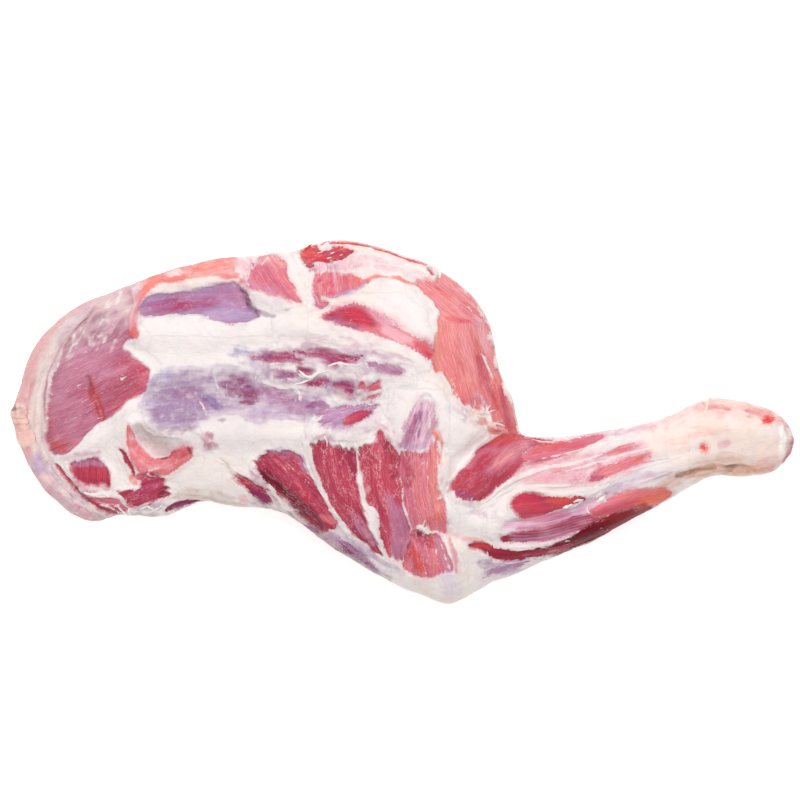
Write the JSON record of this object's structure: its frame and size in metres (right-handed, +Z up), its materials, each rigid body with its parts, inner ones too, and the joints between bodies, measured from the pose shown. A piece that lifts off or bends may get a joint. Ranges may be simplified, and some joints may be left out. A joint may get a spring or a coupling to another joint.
{
  "type": "raw lamb shoulder",
  "caption": "Raw lamb shoulder on the bone with its shank, lying inner side up: bare muscles, seams and fat folds in relief on one solid joint of meat.",
  "frame": {"origin": "on the surface that the joint lies on, under the middle of its box", "axes": "+X from the blade edge to the knuckle, +Y towards the neck side, +Z up, out of the inner side"},
  "size_m": [0.44, 0.2039, 0.0669],
  "materials": {
    "meat": "moist raw meat with fat and silverskin"
  },
  "bodies": {
    "root": {"lamb_shoulder": "meat"}
  },
  "joints": []
}
